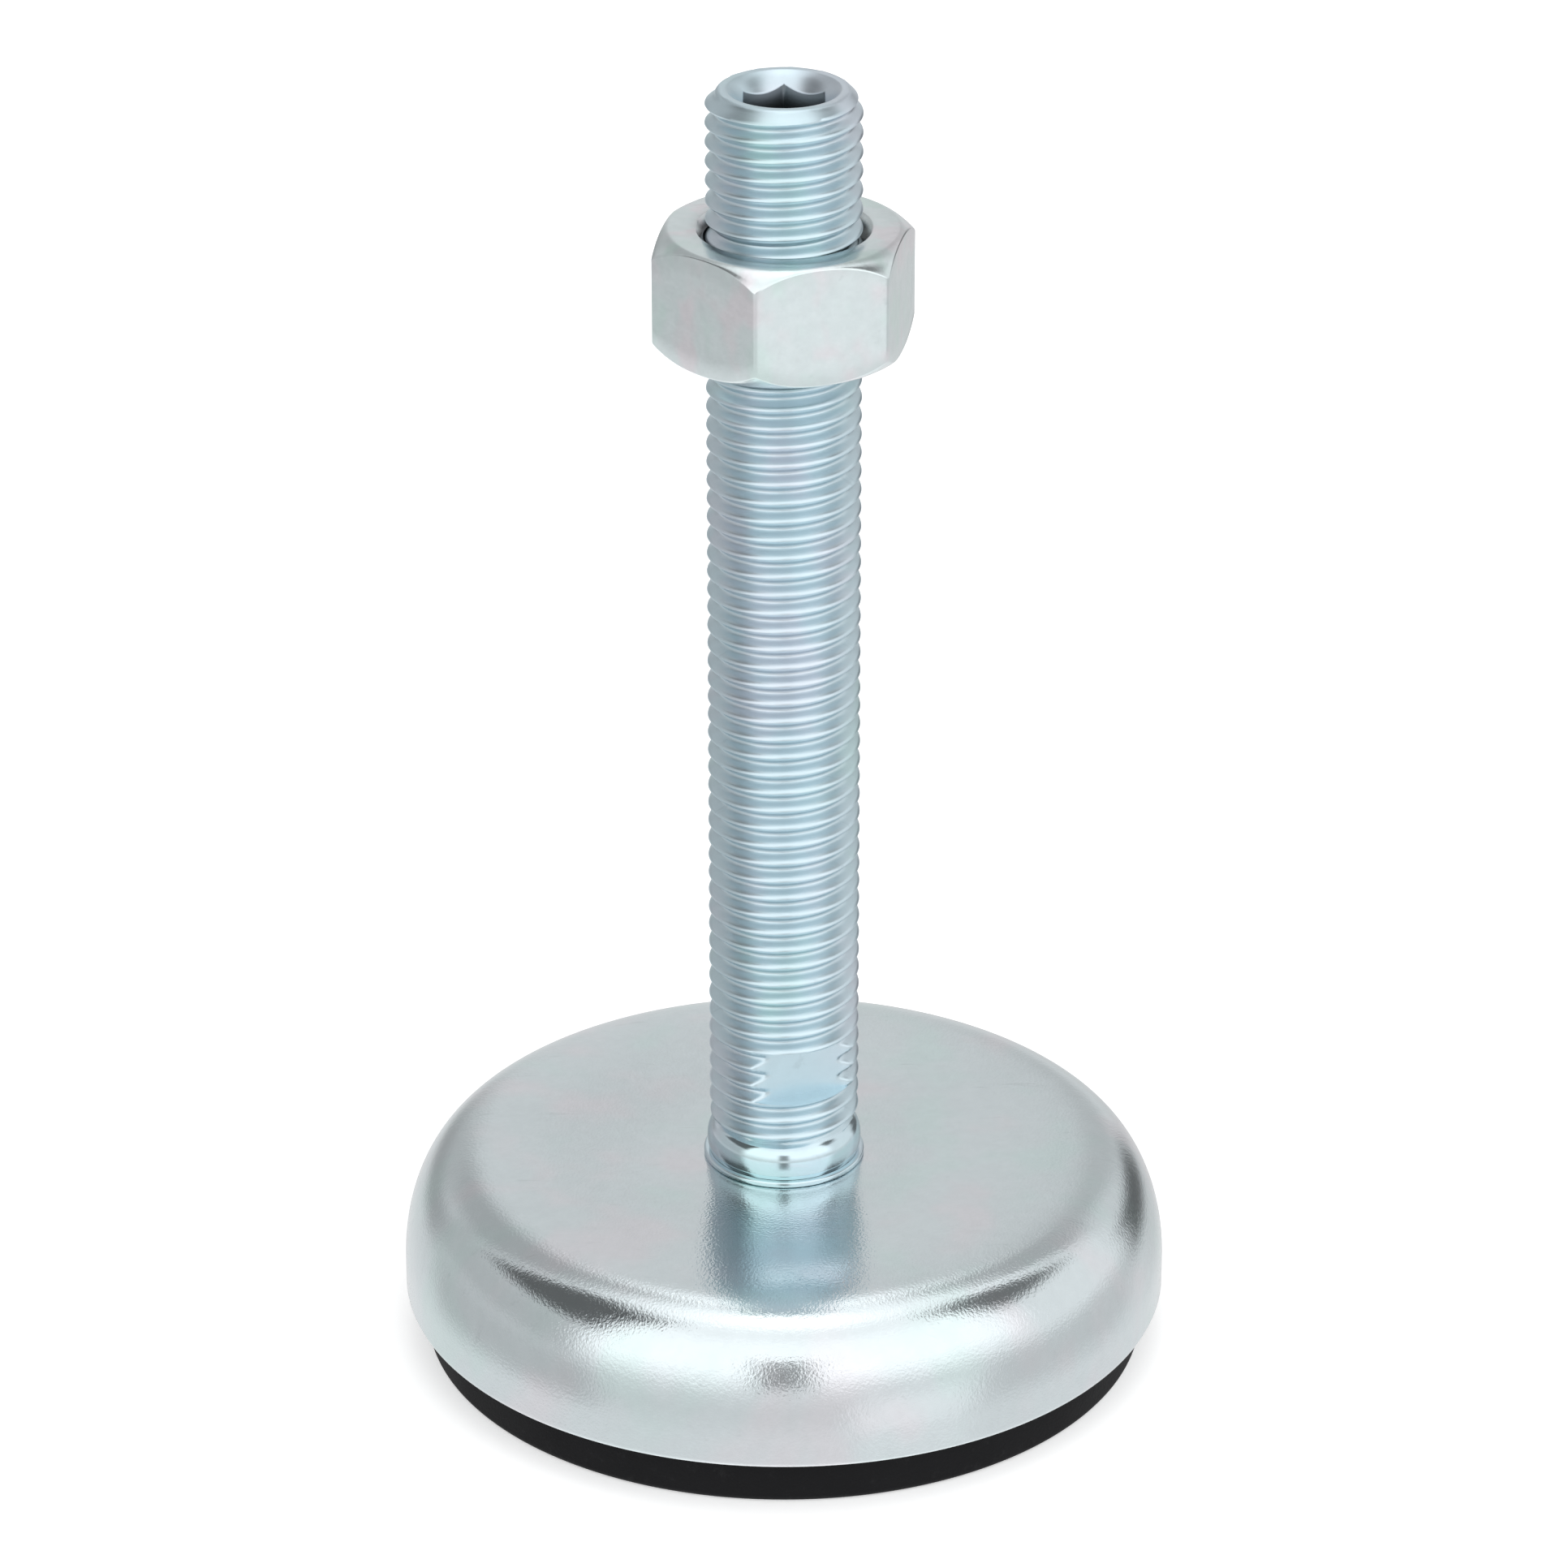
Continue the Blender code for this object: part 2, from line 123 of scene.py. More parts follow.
class ShaderGraph:
    """The nodes of one material or of the world, added by kind."""

    def __init__(self, tree: bpy.types.NodeTree) -> None:
        """Start on an empty node tree.

        Args:
            tree: The tree that the nodes go into.
        """
        tree.nodes.clear()
        self.tree = tree

    def node(
        self,
        kind: str,
        settings: Mapping[str, Any] | None = None,
        inputs: Mapping[str | int, Link] | None = None,
    ) -> bpy.types.Node:
        """Add one node.

        Args:
            kind: Blender's type name of the node.
            settings: Properties to set first. "stops" holds a ramp's (position, colour) pairs.
            inputs: For each input's name or number, a value, a socket to link or a constant.

        Returns:
            The new node.
        """
        node = self.tree.nodes.new(kind)
        for name, setting in (settings or {}).items():
            if name == "stops":
                self._set_stops(node.color_ramp, setting)
            else:
                setattr(node, name, setting)
        for name, source in (inputs or {}).items():
            target = node.inputs[name]
            if isinstance(source, Value):
                self.tree.links.new(source.socket, target)
            elif isinstance(source, bpy.types.NodeSocket):
                self.tree.links.new(source, target)
            else:
                target.default_value = source
        return node

    @staticmethod
    def _set_stops(ramp: bpy.types.ColorRamp, stops: Sequence[tuple[float, Sequence[float]]]) -> None:
        """Give a colour ramp its stops, each a position and an RGB colour."""
        while len(ramp.elements) < len(stops):
            ramp.elements.new(1.0)
        for element, (position, color) in zip(ramp.elements, stops):
            element.position = position
            element.color = (*color, 1.0)

    def value(
        self,
        kind: str,
        settings: Mapping[str, Any] | None = None,
        inputs: Mapping[str | int, Link] | None = None,
        output: str | int = 0,
    ) -> Value:
        """Add one node and return one of its outputs as a value."""
        return Value(self, self.node(kind, settings, inputs).outputs[output])

    def math(self, operation: str, *operands: Link, clamp: bool = False) -> Value:
        """Add a Math node on up to three operands."""
        settings = {"operation": operation, "use_clamp": clamp}
        return self.value("ShaderNodeMath", settings, dict(enumerate(operands)))

    def mix_color(self, factor: Link, first: Link, second: Link, blend: str = "MIX") -> Socket:
        """Blend two colours.

        Args:
            factor: How much of the second colour shows.
            first: The colour at factor 0, as a socket or RGB numbers.
            second: The colour at factor 1, as a socket or RGB numbers.
            blend: Blender's name of the blend.

        Returns:
            The socket of the blended colour.
        """
        settings = {"data_type": "RGBA", "blend_type": blend}
        inputs = {0: factor, 6: self._rgba(first), 7: self._rgba(second)}
        return self.node("ShaderNodeMix", settings, inputs).outputs[2]

    @staticmethod
    def _rgba(color: Link) -> Link:
        """Add an alpha of 1 to a plain RGB colour and leave a socket alone."""
        return (*color, 1.0) if isinstance(color, tuple) and len(color) == 3 else color

    def scaled_position(self, scale: Sequence[float]) -> Socket:
        """Object coordinates multiplied by a scale along each axis."""
        place = self.node("ShaderNodeTexCoord").outputs["Object"]
        settings = {"vector_type": "POINT"}
        return self.node("ShaderNodeMapping", settings, {"Vector": place, "Scale": tuple(scale)}).outputs[0]

    def noise(
        self, scale: float, detail: float = 2.0, roughness: float = 0.5, stretch: Sequence[float] = (1, 1, 1)
    ) -> Value:
        """Noise on object coordinates.

        Args:
            scale: Features per metre.
            detail: Octaves of finer noise.
            roughness: How strong the finer octaves are.
            stretch: Extra scale along each axis.

        Returns:
            The noise, about 0.5 on average.
        """
        vector = self.scaled_position(stretch)
        inputs = {"Vector": vector, "Scale": scale, "Detail": detail, "Roughness": roughness}
        return self.value("ShaderNodeTexNoise", None, inputs, "Fac")

    def radius(self) -> Value:
        """Distance from the foot's axis in millimetres."""
        flat = self.scaled_position((1 / MM, 1 / MM, 0.0))
        return self.value("ShaderNodeVectorMath", {"operation": "LENGTH"}, {0: flat}, "Value")

    def height(self) -> Value:
        """Height above the floor in millimetres."""
        place = self.node("ShaderNodeTexCoord").outputs["Object"]
        return self.value("ShaderNodeSeparateXYZ", None, {0: place}, "Z") * (1 / MM)

    def bump(self, height: Value, distance: float, normal: Link = None) -> Socket:
        """A Bump node whose height of 1 stands the given distance, in metres, off the surface."""
        inputs: dict[str | int, Link] = {"Height": height, "Distance": distance}
        if normal is not None:
            inputs["Normal"] = normal
        return self.node("ShaderNodeBump", None, inputs).outputs[0]

    def principled(self, inputs: Mapping[str | int, Link]) -> None:
        """End a material's graph with a Principled shader on the given inputs."""
        shader = self.node("ShaderNodeBsdfPrincipled", None, inputs)
        self.node("ShaderNodeOutputMaterial", None, {"Surface": shader.outputs[0]})


def new_material(name: str) -> tuple[bpy.types.Material, ShaderGraph]:
    """A new material and its empty graph."""
    material = bpy.data.materials.new(name)
    material.use_nodes = True
    return material, ShaderGraph(material.node_tree)


# ------------------------------------------------------------------------------
# Finishes
# ------------------------------------------------------------------------------

Color = tuple[float, float, float]


class Slot(Enum):
    """The record's material slots."""

    SATIN_ZINC = "satin_zinc"
    BRIGHT_ZINC = "bright_zinc"
    SPRING_STEEL = "spring_steel"
    RUBBER = "rubber"


@dataclass(frozen=True)
class ZincFinish:
    """Zinc plating with a clear blue passivation, which shimmers faintly from pink to green.

    Heights of the grain and the ripple are metres, and scales are features per metre. The groove's
    radius, the bore's mouth as (radius, height) and the height of the polished foot are millimetres. Inside
    the groove's radius and down the bore the colour is darkened as painted shade; a painted shade of 1
    leaves the colour as it is, and a radius or height of 0 leaves that mask out.
    """

    name: str
    slot: Slot
    color: Color
    pink: Color
    green: Color
    roughness: float
    roughness_spread: float
    grain_height: float
    grain_scale: float
    ripple_height: float
    ripple_scale: float
    stretch: tuple[float, float, float] = (1.0, 1.0, 1.0)
    groove_radius: float = 0.0
    groove_painted_shade: float = 1.0
    bore_mouth: tuple[float, float] = (0.0, 0.0)
    bore_painted_shade: float = 1.0
    scuffs: float = 0.25
    polished_below: float = 0.0
    tint_scale: float = 90.0
    mottling: float = 0.10

    def material(self) -> bpy.types.Material:
        """Build the finish as a material.

        Returns:
            The material, with its grain, its ripple and its shimmer on object coordinates, and its painted
            shade in the groove and the bore.
        """
        material, graph = new_material(self.name)
        grain = graph.noise(self.grain_scale, 2.0, 0.6, self.stretch)
        ripple = graph.noise(self.ripple_scale, 2.0, 0.5, self.stretch)
        clouds = graph.noise(55.0, 3.0, 0.55)
        tints = graph.noise(self.tint_scale, 2.0, 0.5, (1.0, 1.0, 0.7))
        mottle = graph.noise(700.0, 3.0, 0.65)
        scratches = graph.noise(420.0, 4.0, 0.7, (0.25, 1.6, 0.6)).step(0.62, 0.72) * self.scuffs

        tint = graph.mix_color(tints.step(0.50, 0.68), self.color, self.pink)
        tint = graph.mix_color(tints.step(0.46, 0.30), tint, self.green)
        shade = (1.0 - scratches * 0.25) * (0.95 + clouds * 0.10)
        shade = shade * (1.0 + (mottle - 0.5) * self.mottling)
        # Painted shade: the colour is darkened inside the groove radius, in the stud's thread roots and down
        # the nut's bore.
        if self.groove_radius:
            groove = graph.radius().step(self.groove_radius + 0.45, self.groove_radius - 0.05)
            shade = shade * (1.0 - groove * (1.0 - self.groove_painted_shade))
        # Painted shade: much darker down the key socket, below the countersink's cone and inside its mouth.
        if self.bore_painted_shade < 1.0:
            radius, top = self.bore_mouth
            below_cone = (top - graph.height()) - (radius - graph.radius())
            bore = below_cone.step(0.00, 0.14) * graph.radius().step(radius - 0.3, radius - 0.5)
            shade = shade * (1.0 - bore * (1.0 - self.bore_painted_shade))
        shaded = graph.mix_color(1.0, tint, self._grey(graph, shade), "MULTIPLY")

        spread = self.roughness_spread
        rough = self.roughness + (clouds - 0.5) * spread + (grain - 0.5) * spread
        rough = rough + scratches * 0.15
        if self.polished_below:
            rough = rough - graph.height().step(self.polished_below + 0.2, self.polished_below - 0.2) * 0.20
        normal = graph.bump(ripple, self.ripple_height)
        normal = graph.bump(grain, self.grain_height, normal=normal)
        rough = rough.math("MAXIMUM", 0.06)
        graph.principled({"Base Color": shaded, "Metallic": 1.0, "Roughness": rough, "Normal": normal})
        return material

    @staticmethod
    def _grey(graph: ShaderGraph, shade: Value) -> Socket:
        """A grey colour of the given shade."""
        inputs = {"Red": shade, "Green": shade, "Blue": shade}
        return graph.node("ShaderNodeCombineColor", None, inputs).outputs[0]


@dataclass(frozen=True)
class RubberFinish:
    """Matte moulded rubber with a fine grain and a little dust."""

    name: str
    slot: Slot
    color: Color
    dust: Color
    roughness: float
    grain_height: float

    def material(self) -> bpy.types.Material:
        """Build the finish as a material."""
        material, graph = new_material(self.name)
        grain = graph.noise(2600.0, 3.0, 0.6)
        flow = graph.noise(120.0, 3.0, 0.5)
        dust = graph.noise(700.0, 4.0, 0.7).step(0.56, 0.75) * flow * 0.35
        color = graph.mix_color(dust, self.color, self.dust)
        rough = self.roughness + (flow - 0.5) * 0.2
        normal = graph.bump(flow, 0.00006)
        normal = graph.bump(grain, self.grain_height, normal=normal)
        inputs = {"Base Color": color, "Roughness": rough, "Specular IOR Level": 0.16, "Normal": normal}
        graph.principled(inputs)
        return material


BASE_ZINC = ZincFinish(
    name="satin zinc plate",
    slot=Slot.SATIN_ZINC,
    color=(0.71, 0.77, 0.79),
    pink=(0.76, 0.76, 0.79),
    green=(0.68, 0.78, 0.78),
    roughness=0.10,
    roughness_spread=0.05,
    grain_height=0.000026,
    grain_scale=3300.0,
    ripple_height=0.00002,
    ripple_scale=180.0,
)
STUD_ZINC = ZincFinish(
    name="bright zinc thread",
    slot=Slot.BRIGHT_ZINC,
    color=(0.64, 0.77, 0.83),
    pink=(0.69, 0.76, 0.83),
    green=(0.62, 0.79, 0.81),
    roughness=0.34,
    roughness_spread=0.12,
    polished_below=24.3,
    grain_height=0.000006,
    grain_scale=1400.0,
    ripple_height=0.00002,
    ripple_scale=260.0,
    stretch=(0.18, 0.18, 1.6),
    # Painted shade: a little darker in the thread roots.
    groove_radius=6.85,
    groove_painted_shade=0.96,
    # Painted shade: much darker down the key socket.
    bore_mouth=(5.7, 138.5),
    bore_painted_shade=0.27,
)
NUT_ZINC = ZincFinish(
    name="zinc nut",
    slot=Slot.BRIGHT_ZINC,
    color=(0.73, 0.80, 0.81),
    pink=(0.79, 0.77, 0.80),
    green=(0.69, 0.81, 0.79),
    roughness=0.22,
    roughness_spread=0.10,
    grain_height=0.000008,
    grain_scale=1900.0,
    ripple_height=0.00004,
    ripple_scale=150.0,
    # Painted shade: much darker down the threaded bore and into its mouths.
    groove_radius=8.2,
    groove_painted_shade=0.22,
    tint_scale=210.0,
    mottling=0.16,
)
RING_STEEL = ZincFinish(
    name="oiled spring steel",
    slot=Slot.SPRING_STEEL,
    color=(0.20, 0.21, 0.23),
    pink=(0.23, 0.21, 0.23),
    green=(0.18, 0.21, 0.21),
    roughness=0.36,
    roughness_spread=0.10,
    grain_height=0.000008,
    grain_scale=2200.0,
    ripple_height=0.00001,
    ripple_scale=300.0,
)
PAD_RUBBER = RubberFinish(
    name="black rubber",
    slot=Slot.RUBBER,
    color=(0.006, 0.006, 0.007),
    dust=(0.040, 0.040, 0.042),
    roughness=0.66,
    grain_height=0.00004,
)


# ------------------------------------------------------------------------------
# Surfaces
# ------------------------------------------------------------------------------


def smooth_min(first: Array, second: Array, width: float) -> Array:
    """The lower of two arrays, with the corner rounded over the given width.

    The formula is half of: the sum, less the root of the squared difference plus the squared width.
    """
    return (first + second - np.sqrt((first - second) ** 2 + width**2)) / 2


def smooth_max(first: Array, second: Array, width: float) -> Array:
    """The higher of two arrays, with the corner rounded over the given width."""
    return -smooth_min(-first, -second, width)


def turned_points(radius: Array, angle: Array, height: Array) -> Array:
    """Points at a radius, angle and height: x and y are the radius times the angle's cosine and sine."""
    radius, angle, height = np.broadcast_arrays(radius, angle, height)
    return np.stack([radius * np.cos(angle), radius * np.sin(angle), height], axis=-1)


def full_circle(columns: int, start: float = 0.0) -> Array:
    """Evenly spaced angles over a full turn, with the first one again at the end."""
    return start + FULL_TURN * np.arange(columns + 1) / columns


def shoulder_line(inner: float, outer: float, low: float, high: float, steps: int) -> Array:
    """Radius and height along a soft shoulder, from the top at (inner, high) to the side at (outer, low).

    The height goes with the root of what the cube of the share of the radius leaves, so that the shoulder
    leaves the top without a crease. The points are spaced by the sine of a turn.
    """
    share = np.sin(np.linspace(0.0, math.pi / 2, steps + 1))
    return np.stack([inner + (outer - inner) * share, low + (high - low) * np.sqrt(1.0 - share**3)], axis=1)


def rounded_outline(corners: Sequence[tuple[float, float, float]], steps: int = 4) -> Array:
    """Round each corner of a closed outline.

    A corner is (radius, height, rounding). The rounding is cut from both sides and bridged by a quadratic
    curve through the corner's pull: the square of the rest times the start, plus twice the product times
    the corner, plus the square of the share times the end.

    Args:
        corners: The outline's corners in order, each with the length that its rounding takes.
        steps: Steps along each rounding.

    Returns:
        The outline's (radius, height) points.
    """
    points = np.array([corner[:2] for corner in corners])
    rounding = np.array([corner[2] for corner in corners])[:, None]
    back = np.roll(points, 1, axis=0) - points
    ahead = np.roll(points, -1, axis=0) - points
    start = points + back / np.linalg.norm(back, axis=1, keepdims=True) * rounding
    end = points + ahead / np.linalg.norm(ahead, axis=1, keepdims=True) * rounding
    share = np.linspace(0.0, 1.0, steps + 1)[None, :, None]
    rest = 1 - share
    curve = rest**2 * start[:, None] + 2 * share * rest * points[:, None] + share**2 * end[:, None]
    pieces = [part if size > 0 else part[:1] for part, size in zip(curve, rounding[:, 0])]
    return np.concatenate(pieces)


def ring_outline(inner: float, outer: float, low: float, high: float, soft: float) -> Array:
    """The closed section of a flat ring with rounded edges, with its first point again at the end."""
    corners = ((inner, low), (outer, low), (outer, high), (inner, high))
    outline = rounded_outline([(*corner, soft) for corner in corners])
    return np.vstack([outline, outline[:1]])


@dataclass
class Surface:
    """A mesh in the making: patches of points on grids, joined where their points meet."""

    name: str
    patches: list[Array] = field(default_factory=list)

    def add(self, grid: Array) -> None:
        """Add a patch, a grid of points whose rows climb and whose columns run counter-clockwise."""
        self.patches.append(grid)

    def add_rings(self, profile: Array, angles: Array) -> None:
        """Add a turned patch along a profile of (radius, height) points."""
        self.add(turned_points(profile[:, :1], angles[None], profile[:, 1:2]))

    def mesh(self, weld: float = 1e-7) -> bpy.types.Mesh:
        """Join the patches into one mesh.

        Every grid cell becomes a face. Points that share a place, to within the weld, become one, and a
        face that has lost a corner this way becomes a triangle or goes.

        Args:
            weld: Size of the cells, in metres, in which points count as one.

        Returns:
            The mesh, with its faces pointing out.
        """
        points, faces, offset = [], [], 0
        for grid in self.patches:
            rows, columns = grid.shape[:2]
            number = offset + np.arange(rows * columns).reshape(rows, columns)
            corners = (number[:-1, :-1], number[:-1, 1:], number[1:, 1:], number[1:, :-1])
            faces.append(np.stack(corners, axis=-1).reshape(-1, 4))
            points.append(grid.reshape(-1, 3))
            offset += rows * columns
        cloud = np.concatenate(points)
        cells = np.round(cloud / weld).astype(np.int64)
        _, first, index = np.unique(cells, axis=0, return_index=True, return_inverse=True)
        quads = index.reshape(-1)[np.concatenate(faces)]
        return self._from_quads(cloud[first], quads)

    def _from_quads(self, cloud: Array, quads: Array) -> bpy.types.Mesh:
        """Make the mesh from four corners a face, some of them alike where a face is a triangle."""
        same_as_next = quads == np.roll(quads, -1, axis=1)
        across = (quads[:, 0] == quads[:, 2]) | (quads[:, 1] == quads[:, 3])
        lost = same_as_next.sum(axis=1)
        full = quads[(lost == 0) & ~across]
        short = quads[(lost == 1) & ~across]
        keep = ~same_as_next[(lost == 1) & ~across]
        triangles = short[keep].reshape(-1, 3)
        mesh = bpy.data.meshes.new(self.name)
        mesh.from_pydata(cloud.tolist(), [], full.tolist() + triangles.tolist())
        mesh.validate()
        mesh.update()
        return mesh


def finished(
    surface: Surface, finish: ZincFinish | RubberFinish, body: str, node: str, sharp: float
) -> bpy.types.Object:
    """Make a piece of a surface, dress it and put it in its place in the frame.

    Args:
        surface: The piece's surface.
        finish: Its finish.
        body: The body that it moves with.
        node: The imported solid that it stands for.
        sharp: Angle in degrees above which an edge stays sharp.

    Returns:
        The piece.
    """
    mesh = surface.mesh()
    mesh.materials.append(FINISHED.setdefault(finish.name, finish.material()))
    mesh.shade_smooth()
    mesh.set_sharp_from_angle(angle=math.radians(sharp))
    piece = bpy.data.objects.new(surface.name, mesh)
    bpy.context.scene.collection.objects.link(piece)
    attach(piece, body)
    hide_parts(node)
    LOG.info("%s: %d faces", piece.name, len(mesh.polygons))
    return piece


FINISHED: dict[str, bpy.types.Material] = {}


# ------------------------------------------------------------------------------
# Thread
# ------------------------------------------------------------------------------


@dataclass(frozen=True)
class Thread:
    """A right-hand thread with 60 degree flanks and rounded crests and roots."""

    pitch: float = 2.0 * MM
    root: float = 6.77 * MM
    crest: float = 7.90 * MM
    root_flat: float = 0.40 * MM
    crest_flat: float = 0.30 * MM
    rounding: float = 0.14 * MM
    datum_height: float = 135.0 * MM
    datum_angle: float = math.radians(-13)
    rows_per_pitch: int = 12
    columns: int = 120

    def radius_at(self, angle: Array, height: Array) -> Array:
        """Radius of the thread's surface.

        The distance along the axis to the nearest groove's middle climbs a pitch in a turn. The flank
        rises in a straight line with that distance, and is cut off at the root and at the crest with
        rounded corners.

        Args:
            angle: Angles about the axis.
            height: Heights above the floor.

        Returns:
            The radii.
        """
        climb = (height - self.datum_height) / self.pitch - (angle - self.datum_angle) / FULL_TURN
        distance = np.abs(climb - np.round(climb)) * self.pitch
        flank = (self.pitch - self.root_flat - self.crest_flat) / 2
        rise = self.root + (distance - self.root_flat / 2) * (self.crest - self.root) / flank
        rounding = self.rounding * 2
        above_root = smooth_max(rise, np.full_like(rise, self.root), rounding)
        return smooth_min(above_root, np.full_like(rise, self.crest), rounding)

    def grid(self, low: float, high: float, angles: Array | None = None) -> tuple[Array, Array]:
        """Angles and heights of a grid whose rows climb with the thread.

        Each row climbs one pitch in a turn, so its end meets the row one pitch above. Heights are cut off
        at both ends, where the rows pile up on a plain ring.

        Args:
            low: Height of the lower end.
            high: Height of the upper end.
            angles: Angles of the columns over a full turn, evenly spaced if left out.

        Returns:
            The angles and the heights, as two equal grids.
        """
        if angles is None:
            angles = full_circle(self.columns, math.pi / 2)
        turns = math.ceil((high - low) / self.pitch) + 2
        rows = np.arange(turns * self.rows_per_pitch + 1)
        starts = low - self.pitch + self.pitch * rows / self.rows_per_pitch
        heights = starts[:, None] + self.pitch * (angles - angles[0])[None] / FULL_TURN
        return np.broadcast_to(angles[None], heights.shape), np.clip(heights, low, high)


# ------------------------------------------------------------------------------
# Sub-assemblies
# ------------------------------------------------------------------------------


@dataclass
class Stud:
    """The threaded stud with its key socket, its rounded collar and the pivot below, and the ring on it."""

    thread: Thread = field(default_factory=Thread)
    top: float = 138.5 * MM
    end_face_radius: float = 6.5 * MM
    mouth_radius: float = 5.7 * MM
    socket_across_flats: float = 8.0 * MM
    socket_depth: float = 10.0 * MM
    collar_bottom: float = 20.7 * MM
    collar_height: float = 3.7 * MM
    collar_waist: float = 22.1 * MM
    collar_radius: float = 8.1 * MM
    collar_tuck: float = 0.25 * MM
    neck_radius: float = 6.6 * MM
    run_out_slope: float = 0.75
    run_out_blend: float = 0.12 * MM
    chamfer_blend: float = 0.10 * MM
    bead_blend: float = 0.08 * MM
    bead_power: float = 2.2
    bead_root: float = 0.55
    wrench_across_flats: float = 11.2 * MM
    wrench_bottom: float = 29.57 * MM
    wrench_top: float = 35.53 * MM
    wrench_angle: float = math.radians(-69)
    shank_radius: float = 5.0 * MM
    groove_radius: float = 4.5 * MM
    ring_bottom: float = 13.7 * MM
    ring_thickness: float = 1.0 * MM
    ring_radius: float = 7.2 * MM
    ring_gap: float = math.radians(50)
    play: float = 0.1 * MM
    end_length: float = 1.4 * MM
    floor_sink: float = 1.2 * MM

    def side_radius(self, angle: Array, height: Array) -> Array:
        """Radius of the threaded side.

        The thread is cut down by a cone where it runs out above the collar and by a 45 degree cone at the
        end face. The collar is a bead: it swells from the neck along a quarter of a superellipse, and
        tucks in at its foot.

        Args:
            angle: Angles about the axis.
            height: Heights above the floor.

        Returns:
            The radii.
        """
        top_of_collar = self.collar_bottom + self.collar_height
        run_out = self.neck_radius - self.play + self.run_out_slope * (height - (top_of_collar - 1.0 * MM))
        chamfer = self.end_face_radius + (self.top - height)
        radius = smooth_min(self.thread.radius_at(angle, height), run_out, self.run_out_blend)
        radius = smooth_min(radius, chamfer, self.chamfer_blend)
        above = np.clip((height - self.collar_waist) / (top_of_collar - self.collar_waist), 0.0, 1.0)
        below = np.clip((self.collar_waist - height) / (self.collar_waist - self.collar_bottom), 0.0, 1.0)
        swell = (1.0 - above**self.bead_power) ** self.bead_root
        bead = self.neck_radius + (self.collar_radius - self.neck_radius) * swell
        bead = bead - self.collar_tuck * below**2
        return smooth_max(radius, np.where(above < 1.0, bead, 0.0), self.bead_blend)

    def milled(self, radius: Array, angle: Array) -> Array:
        """Cut a radius down to the two spanner flats.

        A flat's radius is its distance from the axis over the cosine of the angle off its middle.
        """
        off = np.mod(angle - self.wrench_angle + math.pi / 2, math.pi) - math.pi / 2
        flat = self.wrench_across_flats / 2 / np.maximum(np.cos(off), 0.05)
        return np.where(flat < radius + self.play, smooth_min(radius, flat, 0.3 * self.play), radius)

    def side(self, surface: Surface) -> None:
        """Add the threaded side, from the collar's foot to the end face, and mill the spanner flats.

        The side is three stretches: below the flats, at their height and above. A step between two
        stretches is a narrow ledge that runs from one radius to the other at one height.
        """
        low, high = self.wrench_bottom, self.wrench_top
        stretches = ((self.collar_bottom, low, False), (low, high, True), (high, self.top, False))
        foot_radius = self.collar_radius - self.collar_tuck
        for start, end, milled in stretches:
            angle, height = self.thread.grid(start, end)
            radius = self.side_radius(angle, height)
            if milled:
                radius = self.milled(radius, angle)
            radius = np.where(height <= self.collar_bottom + SAME_PLACE, foot_radius, radius)
            radius = np.where(height >= self.top - SAME_PLACE, self.end_face_radius - self.play, radius)
            surface.add(turned_points(radius, angle, height))
        angles = full_circle(self.thread.columns, math.pi / 2)
        for level, inward in ((low, True), (high, False)):
            outer = self.side_radius(angles, np.full_like(angles, level))
            inner = self.milled(outer, angles)
            share = np.linspace(0.0, 1.0, 4)[:, None]
            first, last = (outer, inner) if inward else (inner, outer)
            surface.add(turned_points(first * (1 - share) + last * share, angles[None], level))

    def end(self, surface: Surface) -> None:
        """Add the end face, its countersink and the hexagonal key socket.

        A flat of the hexagon is half its width across flats away from the axis, so its radius is that
        distance over the cosine of the angle from the flat's middle. The countersink is a 45 degree cone,
        so it is as deep as it has closed in.
        """
        angles = full_circle(self.thread.columns, math.pi / 2)
        from_flat = np.mod(angles - math.pi / 2, math.pi / 3) - math.pi / 6
        hexagon = self.socket_across_flats / 2 / np.cos(from_flat)
        rings: list[tuple[Array, Array]] = []

        def ring(radius: Array | float, height: Array | float) -> None:
            """Add one ring."""
            pair = np.asarray(radius, float), np.asarray(height, float)
            rings.append(np.broadcast_arrays(*pair, angles)[:2])

        ring(self.end_face_radius - self.play, self.top)
        ring((self.end_face_radius + self.mouth_radius) / 2, self.top)
        ring(self.mouth_radius + 0.06 * MM, self.top)
        ring(self.mouth_radius - 0.06 * MM, self.top - 0.04 * MM)
        for share in (0.5, 0.93):
            radius = self.mouth_radius + (hexagon - self.mouth_radius) * share
            ring(radius, self.top - (self.mouth_radius - radius))
        depth = self.mouth_radius - hexagon
        ring(hexagon, self.top - depth - 0.05 * MM)
        bottom = self.top - self.socket_depth
        for share in (0.3, 0.6, 1.0):
            ring(hexagon, (self.top - depth - 0.05 * MM) * (1 - share) + bottom * share)
        ring(hexagon * 0.86, bottom - 0.1 * MM)
        for share in (0.5, 0.02, 0.0):
            ring(self.socket_across_flats * 0.43 * share, bottom - self.floor_sink * (1.0 - 0.9 * share))
        radius = np.array([item[0] for item in rings])
        height = np.array([item[1] for item in rings])
        surface.add(turned_points(radius, angles[None], height))

